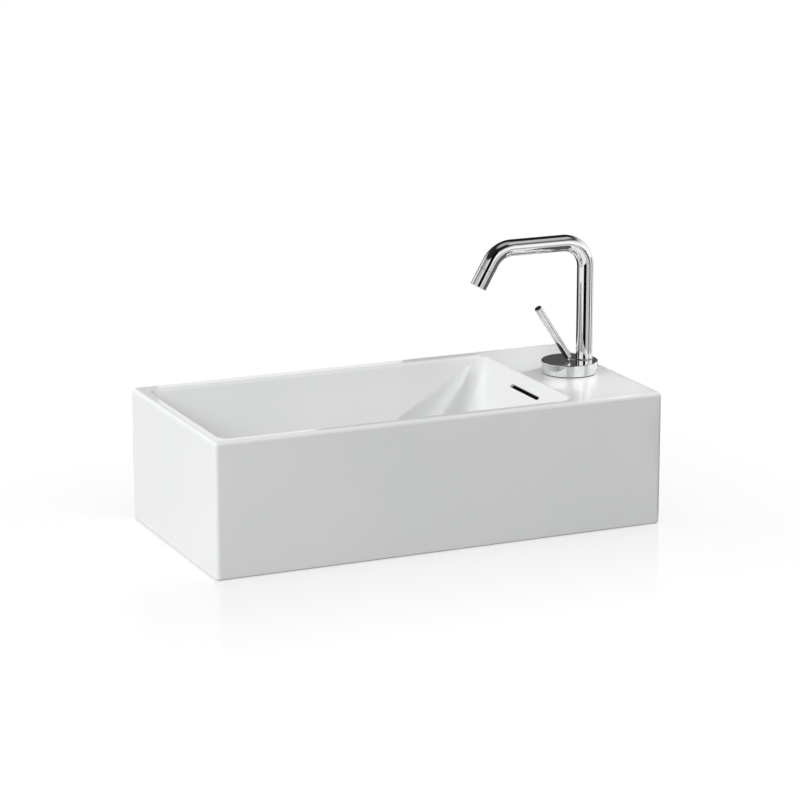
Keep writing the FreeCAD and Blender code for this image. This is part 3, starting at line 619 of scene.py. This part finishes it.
def make_lever():
    """Stick with its dark end cap, and the ball and tail that it turns on."""
    cup = STICK_END - CUP_DEPTH
    foot = STICK_START + 9.5 * MM
    rod = softened([(NECK_R, STICK_START), (STICK_R, STICK_START, 0.35 * MM), (STICK_R, STICK_END, 0.35 * MM),
                    (CUP_R, STICK_END, 0.1 * MM), (CUP_R, cup), (0, cup), (0, foot), (NECK_R, foot)])
    made = piece("lever_rod", [moved(turned(rod), lever_matrix())], "lever", "chrome", ["lever_stick"])
    top = STICK_END + CAP_PROUD
    under = STICK_END + 0.05 * MM
    stem = CUP_R - 0.05 * MM
    cap = softened([(0, cup), (stem, cup), (stem, under), (CAP_R, under, 0.15 * MM),
                    (CAP_R, top - 0.2 * MM, 0.4 * MM), (2.0 * MM, top, 4 * MM), (0, top)])
    shells = [moved(turned(cap, closed=False), lever_matrix())]
    piece("lever_cap", shells, "lever", "dark_plastic", ["lever_end"])
    ball = [(0.0, -BALL_R)]
    for step in range(1, 40):
        angle = math.pi * (step / 40 - 0.5)
        if BALL_R * math.cos(angle) > NECK_R or angle < 0:
            ball.append((BALL_R * math.cos(angle), BALL_R * math.sin(angle)))
    lift = math.sqrt(BALL_R ** 2 - NECK_R ** 2)
    neck_top = STICK_START + 9 * MM
    ball += [(NECK_R, lift), (NECK_R, neck_top), (0.0, neck_top)]
    tail = softened([(0, 0), (TAIL_R, 0), (TAIL_R, -TAIL_LENGTH, 0.4 * MM), (0, -TAIL_LENGTH)])
    shells = [moved(turned(ball, closed=False, segments=64), lever_matrix()),
              moved(turned(tail, closed=False, segments=48), lever_matrix())]
    piece("lever_pivot", shells, "lever", "chrome", ["lever_ball"])
    return made


def make_deck_fixing():
    """Rubber washer, steel washer and ring nut under the deck."""
    seat = Matrix.Translation(at(*TAP, 0))
    low = DECK_UNDER - DECK_GASKET_THICK
    gasket = softened([(SHANK_R + 0.6 * MM, low), (DECK_GASKET_R, low, 0.6 * MM),
                       (DECK_GASKET_R, DECK_UNDER, 0.2 * MM), (SHANK_R + 0.6 * MM, DECK_UNDER)])
    piece("deck_seal", [moved(turned(gasket), seat)], "basin", "black_rubber", ["deck_gasket"])
    high = low
    low = high - DECK_WASHER_THICK
    washer = softened([(SHANK_R + 0.3 * MM, low, 0.15 * MM), (DECK_WASHER_R, low, 0.3 * MM),
                       (DECK_WASHER_R, high, 0.15 * MM), (SHANK_R + 0.3 * MM, high)])
    piece("deck_plate", [moved(turned(washer), seat)], "basin", "steel", ["deck_washer"])
    high = low
    low = high - DECK_NUT_THICK
    nut = hex_nut(DECK_NUT_FLATS, SHANK_R + 0.05 * MM, low, high, 20.6 * MM, low + 1.8 * MM)
    piece("deck_ring_nut", [moved(nut, seat)], "basin", "brass", ["deck_nut"], sharp=28)


# ---------------------------------------------------------------- waste
def make_waste():
    """Threaded waste with its flange and bridge, and the nut, washer and seals on it."""
    seat = Matrix.Translation(at(*DRAIN, 0))
    flange = softened([(WASTE_BORE_R, 38 * MM), (WASTE_R, 38 * MM), (WASTE_R, FLANGE_LOW), (FLANGE_R, FLANGE_LOW),
                       (FLANGE_R, FLANGE_LOW + 0.8 * MM, 0.3 * MM), (FLANGE_R - 3 * MM, FLANGE_TOP, 2 * MM),
                       (24 * MM, FLANGE_TOP, 1.5 * MM), (WASTE_BORE_R, 50 * MM, 2 * MM)])
    tube = threaded(WASTE_R, WASTE_THREAD, WASTE_PITCH, WASTE_LOW, 39 * MM, WASTE_BORE_R)
    shells = [moved(turned(flange), seat), moved(tube, seat)]
    low, high = BRIDGE_Z
    inner, outer = BRIDGE_HUB_R
    hub = softened([(inner, low, 0.3 * MM), (outer, low, 0.4 * MM), (outer, high, 0.4 * MM),
                    (inner, high, 0.3 * MM)])
    shells.append(moved(turned(hub, segments=48), seat))
    for k in range(3):
        place = Matrix.Rotation(math.radians(90 + 120 * k), 4, "Z")
        place = place @ Matrix.Translation((BRIDGE_ARM_MIDDLE, 0, (low + high) / 2))
        shells.append(bar((*BRIDGE_ARM, high - low), seat @ place))
    piece("waste_casting", shells, "basin", "chrome", ["waste_body"], sharp=40)

    nut = hex_nut(NUT_FLATS, WASTE_R + 0.05 * MM, NUT_LOW, NUT_TOP, 26 * MM, NUT_LOW + 2.5 * MM)
    piece("waste_back_nut", [moved(nut, seat)], "basin", "brass", ["waste_nut"], sharp=28)
    washer = softened([(WASTE_R + 0.3 * MM, NUT_TOP), (SLIP_RING_R, NUT_TOP, 0.3 * MM),
                       (SLIP_RING_R, SLIP_RING_TOP, 0.3 * MM), (WASTE_R + 0.3 * MM, SLIP_RING_TOP)])
    piece("waste_slip_ring", [moved(turned(washer), seat)], "basin", "white_plastic", ["waste_washer"])
    bore = WASTE_R + 0.15 * MM
    cone = softened([(bore, SLIP_RING_TOP), (27 * MM, SLIP_RING_TOP, 0.8 * MM), (CONE_R, 30 * MM, 1.5 * MM),
                     (CONE_R, BOSS_LOW, 0.5 * MM), (bore, BOSS_LOW)])
    piece("waste_cone_seal", [moved(turned(cone), seat)], "basin", "black_rubber", ["waste_seal"])
    bore, rim = WASTE_R + 0.2 * MM, FLANGE_R - 0.5 * MM
    gasket = softened([(bore, FLANGE_GASKET_LOW), (rim, FLANGE_GASKET_LOW, 0.2 * MM), (rim, FLANGE_LOW, 0.2 * MM),
                       (bore, FLANGE_LOW)])
    piece("flange_gasket", [moved(turned(gasket), seat)], "basin", "black_rubber", ["waste_gasket"])


def make_plug():
    seat = Matrix.Translation(at(*DRAIN, 0))
    under = FLANGE_TOP + PLUG_GAP
    top = under + PLUG_THICK
    cap = softened([(0, top + 0.8 * MM), (12 * MM, top + 0.75 * MM, 60 * MM), (PLUG_R, top - 0.1 * MM, 1.2 * MM),
                    (PLUG_R, under, 0.6 * MM), (PLUG_NECK_R, under, 0.8 * MM),
                    (PLUG_NECK_R, PLUG_NECK_LOW, 0.3 * MM), (PLUG_BORE_R, PLUG_NECK_LOW), (PLUG_BORE_R, under),
                    (0, under)])
    shells = [moved(turned(cap, closed=False, segments=128), seat)]
    piece("plug_disc", shells, "plug", "chrome", ["plug_cap"])


# ---------------------------------------------------------------- studio
FLOOR_GREY = 0.8
FLOOR_LIFT = 0.608           # what is added to the lit floor so that it shows white
FLOOR_SIZE = 40.0
FLOOR_SHINE = 0.24           # how much of the mirror image shows at the basin's foot
SHINE_REACH = 260 * MM       # how far from the basin's foot the floor still mirrors it


def lit_rays(nodes, link):
    """1 for camera, glossy and transmission rays, 0 for the rays that light the object."""
    path = nodes.new("ShaderNodeLightPath")
    seen = maths(nodes, link, "MAXIMUM", path.outputs["Is Camera Ray"], path.outputs["Is Glossy Ray"])
    return maths(nodes, link, "MAXIMUM", seen, path.outputs["Is Transmission Ray"])


def footprint_distance(surface):
    """How far a floor point lies from the basin's footprint."""
    split = surface.nodes.new("ShaderNodeSeparateXYZ")
    surface.link(surface.where, split.inputs["Vector"])
    low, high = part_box("basin")
    squares = []
    for axis in (0, 1):
        middle, half = (low[axis] + high[axis]) / 2, (high[axis] - low[axis]) / 2
        away = surface.maths("ABSOLUTE", surface.maths("SUBTRACT", split.outputs[axis], middle))
        past = surface.maths("MAXIMUM", surface.maths("SUBTRACT", away, half), 0.0)
        squares.append(surface.maths("MULTIPLY", past, past))
    return surface.maths("SQRT", surface.maths("ADD", *squares))


def staged(name, bm, material):
    """Object of the studio, which isn't part of the basin."""
    mesh = bpy.data.meshes.new(name)
    bm.to_mesh(mesh)
    bm.free()
    mesh.materials.append(material)
    made = bpy.data.objects.new(name, mesh)
    bpy.context.scene.collection.objects.link(made)
    return made


def make_floor():
    """White floor that keeps its shadows and mirrors the basin faintly round its foot."""
    surface = Surface("white_floor", Roughness=1.0)
    nodes, link = surface.nodes, surface.link
    surface.shader.inputs["Specular IOR Level"].default_value = 0.0
    surface.set("Base Color", surface.blend(surface.noise(2.0), (FLOOR_GREY,) * 3, (FLOOR_GREY * 1.01,) * 3))
    glow = nodes.new("ShaderNodeEmission")
    link(maths(nodes, link, "MULTIPLY", lit_rays(nodes, link), FLOOR_LIFT), glow.inputs["Strength"])
    base = nodes.new("ShaderNodeAddShader")
    link(surface.shader.outputs["BSDF"], base.inputs[0])
    link(glow.outputs["Emission"], base.inputs[1])
    gloss = nodes.new("ShaderNodeBsdfGlossy")
    gloss.inputs["Roughness"].default_value = 0.0
    near = surface.spread(footprint_distance(surface), SHINE_REACH, 0.0)
    mirror = nodes.new("ShaderNodeMixShader")
    link(surface.maths("MULTIPLY", near, FLOOR_SHINE), mirror.inputs["Fac"])
    link(base.outputs["Shader"], mirror.inputs[1])
    link(gloss.outputs["BSDF"], mirror.inputs[2])
    link(mirror.outputs["Shader"], nodes["Material Output"].inputs["Surface"])
    bm = bmesh.new()
    bmesh.ops.create_grid(bm, x_segments=8, y_segments=8, size=FLOOR_SIZE / 2)
    floor = staged("floor", bm, surface.material)
    floor.location = (0, 0, corner.z - 0.05 * MM)
    return floor


AMBIENT = 0.5                # the even light on the object
TENT_R = 6.0
TENT_HEIGHT = 0.2            # the tent's middle above the basin's foot
RIGHT = Vector((0.91, -0.42, 0))     # the middle of the tent's right part, and how far its sides reach
RIGHT_FULL = math.radians(34)
RIGHT_END = math.radians(48)
# The tent's bands: sine of the height above the horizon, and brightness
RIGHT_BANDS = ((0.0, 1.25), (0.38, 1.1), (0.5, 0.8), (0.56, 0.5), (0.64, 0.1), (0.71, 0.06), (0.77, 0.35),
               (0.87, 0.65), (1.0, 0.4))
REST_BANDS = ((0.0, 1.1), (0.3, 1.1), (0.36, 0.85), (0.5, 0.72), (0.56, 0.12), (0.6, 0.02), (0.92, 0.02),
              (0.96, 0.4), (1.0, 0.5))


def banded(surface, height, bands):
    """Grey of the bands at a height."""
    ramp = surface.nodes.new("ShaderNodeValToRGB")
    stops = ramp.color_ramp.elements
    while len(stops) < len(bands):
        stops.new(0.5)
    for stop, (place, grey) in zip(stops, bands):
        stop.position = place
        stop.color = (grey, grey, grey, 1)
    surface.link(height, ramp.inputs["Fac"])
    return ramp.outputs["Color"]


def make_world():
    """Even light from all round, and a white background for what the camera and shiny surfaces see."""
    world = bpy.data.worlds.new("studio")
    bpy.context.scene.world = world
    world.use_nodes = True
    nodes, link = world.node_tree.nodes, world.node_tree.links.new
    nodes.clear()
    mix = nodes.new("ShaderNodeMixShader")
    link(lit_rays(nodes, link), mix.inputs["Fac"])
    for socket, strength in ((1, AMBIENT), (2, 1.0)):
        node = nodes.new("ShaderNodeBackground")
        node.inputs["Color"].default_value = (1, 1, 1, 1)
        node.inputs["Strength"].default_value = strength
        link(node.outputs["Background"], mix.inputs[socket])
    link(mix.outputs["Shader"], nodes.new("ShaderNodeOutputWorld").inputs["Surface"])


def add_lamp(name, kind, target, offset, power, receivers):
    """Lamp that stands off from its target, and lights what its receivers allow."""
    lamp = bpy.data.lights.new(name, kind)
    lamp.energy = power
    made = bpy.data.objects.new(name, lamp)
    made.location = target + offset
    made.rotation_euler = (target - made.location).to_track_quat("-Z", "Y").to_euler()
    made.visible_camera = False
    made.visible_glossy = False
    made.light_linking.receiver_collection = receivers
    bpy.context.scene.collection.objects.link(made)
    return made, lamp


def around_riser(azimuth, distance, height):
    angle = math.radians(azimuth)
    return at(RISER_X + distance * math.cos(angle), TAP[1] + distance * math.sin(angle), height)


def hang_cloth(name, bm, grey, shade=None):
    """Cloth that only shiny surfaces see, and not the floor: of one brightness, or shaded by a function."""
    surface = Surface(name + "_weave")
    nodes, link = surface.nodes, surface.link
    glow = nodes.new("ShaderNodeEmission")
    weave = surface.between(surface.noise(3.0), 0.9, 1.1)
    link(surface.maths("MULTIPLY", weave, grey), glow.inputs["Strength"])
    if shade:
        link(shade(surface), glow.inputs["Color"])
    unseen = nodes.new("ShaderNodeMixShader")
    link(nodes.new("ShaderNodeLightPath").outputs["Is Singular Ray"], unseen.inputs["Fac"])
    link(glow.outputs["Emission"], unseen.inputs[1])
    link(nodes.new("ShaderNodeBsdfTransparent").outputs["BSDF"], unseen.inputs[2])
    link(unseen.outputs["Shader"], nodes["Material Output"].inputs["Surface"])
    cloth = staged(name, bm, surface.material)
    cloth.visible_camera = False
    cloth.visible_diffuse = False
    cloth.visible_shadow = False


def make_card(name, start, stop, distance, low, high, grey):
    """Curved cloth round the riser between two azimuths."""
    bm = bmesh.new()
    columns = []
    for k in range(13):
        azimuth = start + (stop - start) * k / 12
        columns.append([bm.verts.new(around_riser(azimuth, distance, z)) for z in (low, high)])
    for a, b in zip(columns, columns[1:]):
        bm.faces.new((a[0], b[0], b[1], a[1]))
    hang_cloth(name, bm, grey)


def tent_shade(surface):
    """Colour of a tent point, by its direction from the tent's middle."""
    nodes, link = surface.nodes, surface.link
    away = nodes.new("ShaderNodeVectorMath")
    away.operation = "SUBTRACT"
    away.inputs[1].default_value = around_riser(0, 0, TENT_HEIGHT)
    link(surface.where, away.inputs[0])
    unit = nodes.new("ShaderNodeVectorMath")
    unit.operation = "SCALE"
    unit.inputs["Scale"].default_value = 1 / TENT_R
    link(away.outputs["Vector"], unit.inputs[0])
    split = nodes.new("ShaderNodeSeparateXYZ")
    link(unit.outputs["Vector"], split.inputs["Vector"])
    x, y, z = split.outputs
    across = surface.maths("ADD", surface.maths("MULTIPLY", x, RIGHT.x), surface.maths("MULTIPLY", y, RIGHT.y))
    over_one = 1.001                 # keeps the root above zero at the zenith
    level = surface.maths("SQRT", surface.maths("SUBTRACT", over_one, surface.maths("MULTIPLY", z, z)))
    side = nodes.new("ShaderNodeMapRange")
    side.interpolation_type = "SMOOTHSTEP"
    side.inputs["From Min"].default_value = math.cos(RIGHT_END)
    side.inputs["From Max"].default_value = math.cos(RIGHT_FULL)
    link(surface.maths("DIVIDE", across, level), side.inputs["Value"])
    return surface.blend(side.outputs["Result"], banded(surface, z, REST_BANDS), banded(surface, z, RIGHT_BANDS))


def make_tent():
    """Tent of white panels and dark cloths over the studio."""
    bm = bmesh.new()
    bmesh.ops.create_uvsphere(bm, u_segments=96, v_segments=64, radius=TENT_R)
    below = [vert for vert in bm.verts if vert.co.z < -0.01]
    bmesh.ops.delete(bm, geom=below, context="VERTS")
    moved(bm, Matrix.Translation(around_riser(0, 0, TENT_HEIGHT)))
    hang_cloth("tent", bm, 1.0, tent_shade)


# Cloths round the riser: name, azimuths, distance, lowest and highest edge, brightness
CARDS = (
    ("camera_low", 223, 264, 0.70, 0.0, 0.27, 0.004),
    ("camera_high", 229, 262, 3.00, 0.3, 3.4, 0.004),
    ("front_grey", 268, 300, 0.70, 0.0, 0.27, 0.60),
    ("right_dark", 303, 323, 0.70, 0.0, 0.33, 0.12),
    ("right_grey", 341, 364, 0.70, 0.0, 0.27, 0.24),
    ("back_left", 92, 138, 0.20, 0.0, 0.245, 0.02),
    ("back_left_high", 93, 130, 0.33, 0.22, 0.50, 0.08),
    ("left_grey", 139, 158, 0.50, 0.0, 0.33, 0.40),
    ("left_line", 153, 165, 0.70, 0.38, 0.90, 0.02),
    ("tap_back", 40, 92, 0.45, 0.0, 0.34, 0.09),
    ("tap_back_high", 42, 92, 0.45, 0.34, 1.30, 0.015),
)


FLOOR_CLOTH = ((0.53, -0.02), (0.71, -0.40), (0.95, -0.40), (0.95, 0.50), (0.53, 0.50))
FLOOR_CLOTH_GREY = 0.11


def make_floor_cloth():
    """Dark cloth on the floor beside the deck, which only shiny surfaces see."""
    bm = bmesh.new()
    bm.faces.new([bm.verts.new(at(x, y, 2 * MM)) for x, y in FLOOR_CLOTH])
    hang_cloth("floor_cloth", bm, FLOOR_CLOTH_GREY)


def all_but(name, objects):
    """Collection for light linking that leaves objects out."""
    collection = bpy.data.collections.new(name)
    for item in objects:
        collection.objects.link(item)
    for held in collection.collection_objects:
        held.light_linking.link_state = "EXCLUDE"
    return collection


def make_lamps(floor, uprights):
    """Two wide washes, a lamp by the near left corner and a small one beside the deck. They spare the floor."""
    spared = all_but("floor_spared", [floor])
    middle = at(0.255, 0.125, 0.07)
    lamp = add_lamp("left_wash", "SUN", middle, Vector((-0.90, -0.19, 0.45)), 1.6, spared)[1]
    lamp.angle = math.radians(40)
    lamp = add_lamp("top_wash", "SUN", middle, Vector((0.0, -0.30, 1)), 0.4, spared)[1]
    lamp.angle = math.radians(60)
    near_corner = at(0, 0, BODY_HEIGHT)
    lamp = add_lamp("front_left", "AREA", near_corner, Vector((-0.30, -0.38, 0.15)), 0.3, spared)[1]
    lamp.size = 0.25
    deck = at(0.462, 0.125, BODY_HEIGHT)
    side, lamp = add_lamp("deck_side", "AREA", deck, Vector((0.87, 0.14, 0.47)) * 0.35, 0.03, spared)
    lamp.shape = "RECTANGLE"
    lamp.size = 0.25
    lamp.size_y = 0.046
    lamp.spread = math.radians(7)
    side.light_linking.blocker_collection = all_but("standing_on_disc", uprights)


def make_camera():
    camera = bpy.data.cameras.new("camera")
    camera.lens = 141.61
    made = bpy.data.objects.new("camera", camera)
    made.location = at(-1.074272, -2.853375, 0.963024)
    made.rotation_euler = (math.radians(75.7417), 0, math.radians(-24.1218))
    bpy.context.scene.collection.objects.link(made)
    bpy.context.scene.camera = made


def make_studio(uprights):
    floor = make_floor()
    make_world()
    make_lamps(floor, uprights)
    for card in CARDS:
        make_card(*card)
    make_floor_cloth()
    make_tent()
    make_camera()
    bpy.context.scene.view_settings.view_transform = "Standard"


dress_nodes()
spout_pipe = make_spout()
make_aerator()
make_tap_base()
make_tap_rings()
lever_rod = make_lever()
make_deck_fixing()
make_waste()
make_plug()
make_studio([spout_pipe, lever_rod])
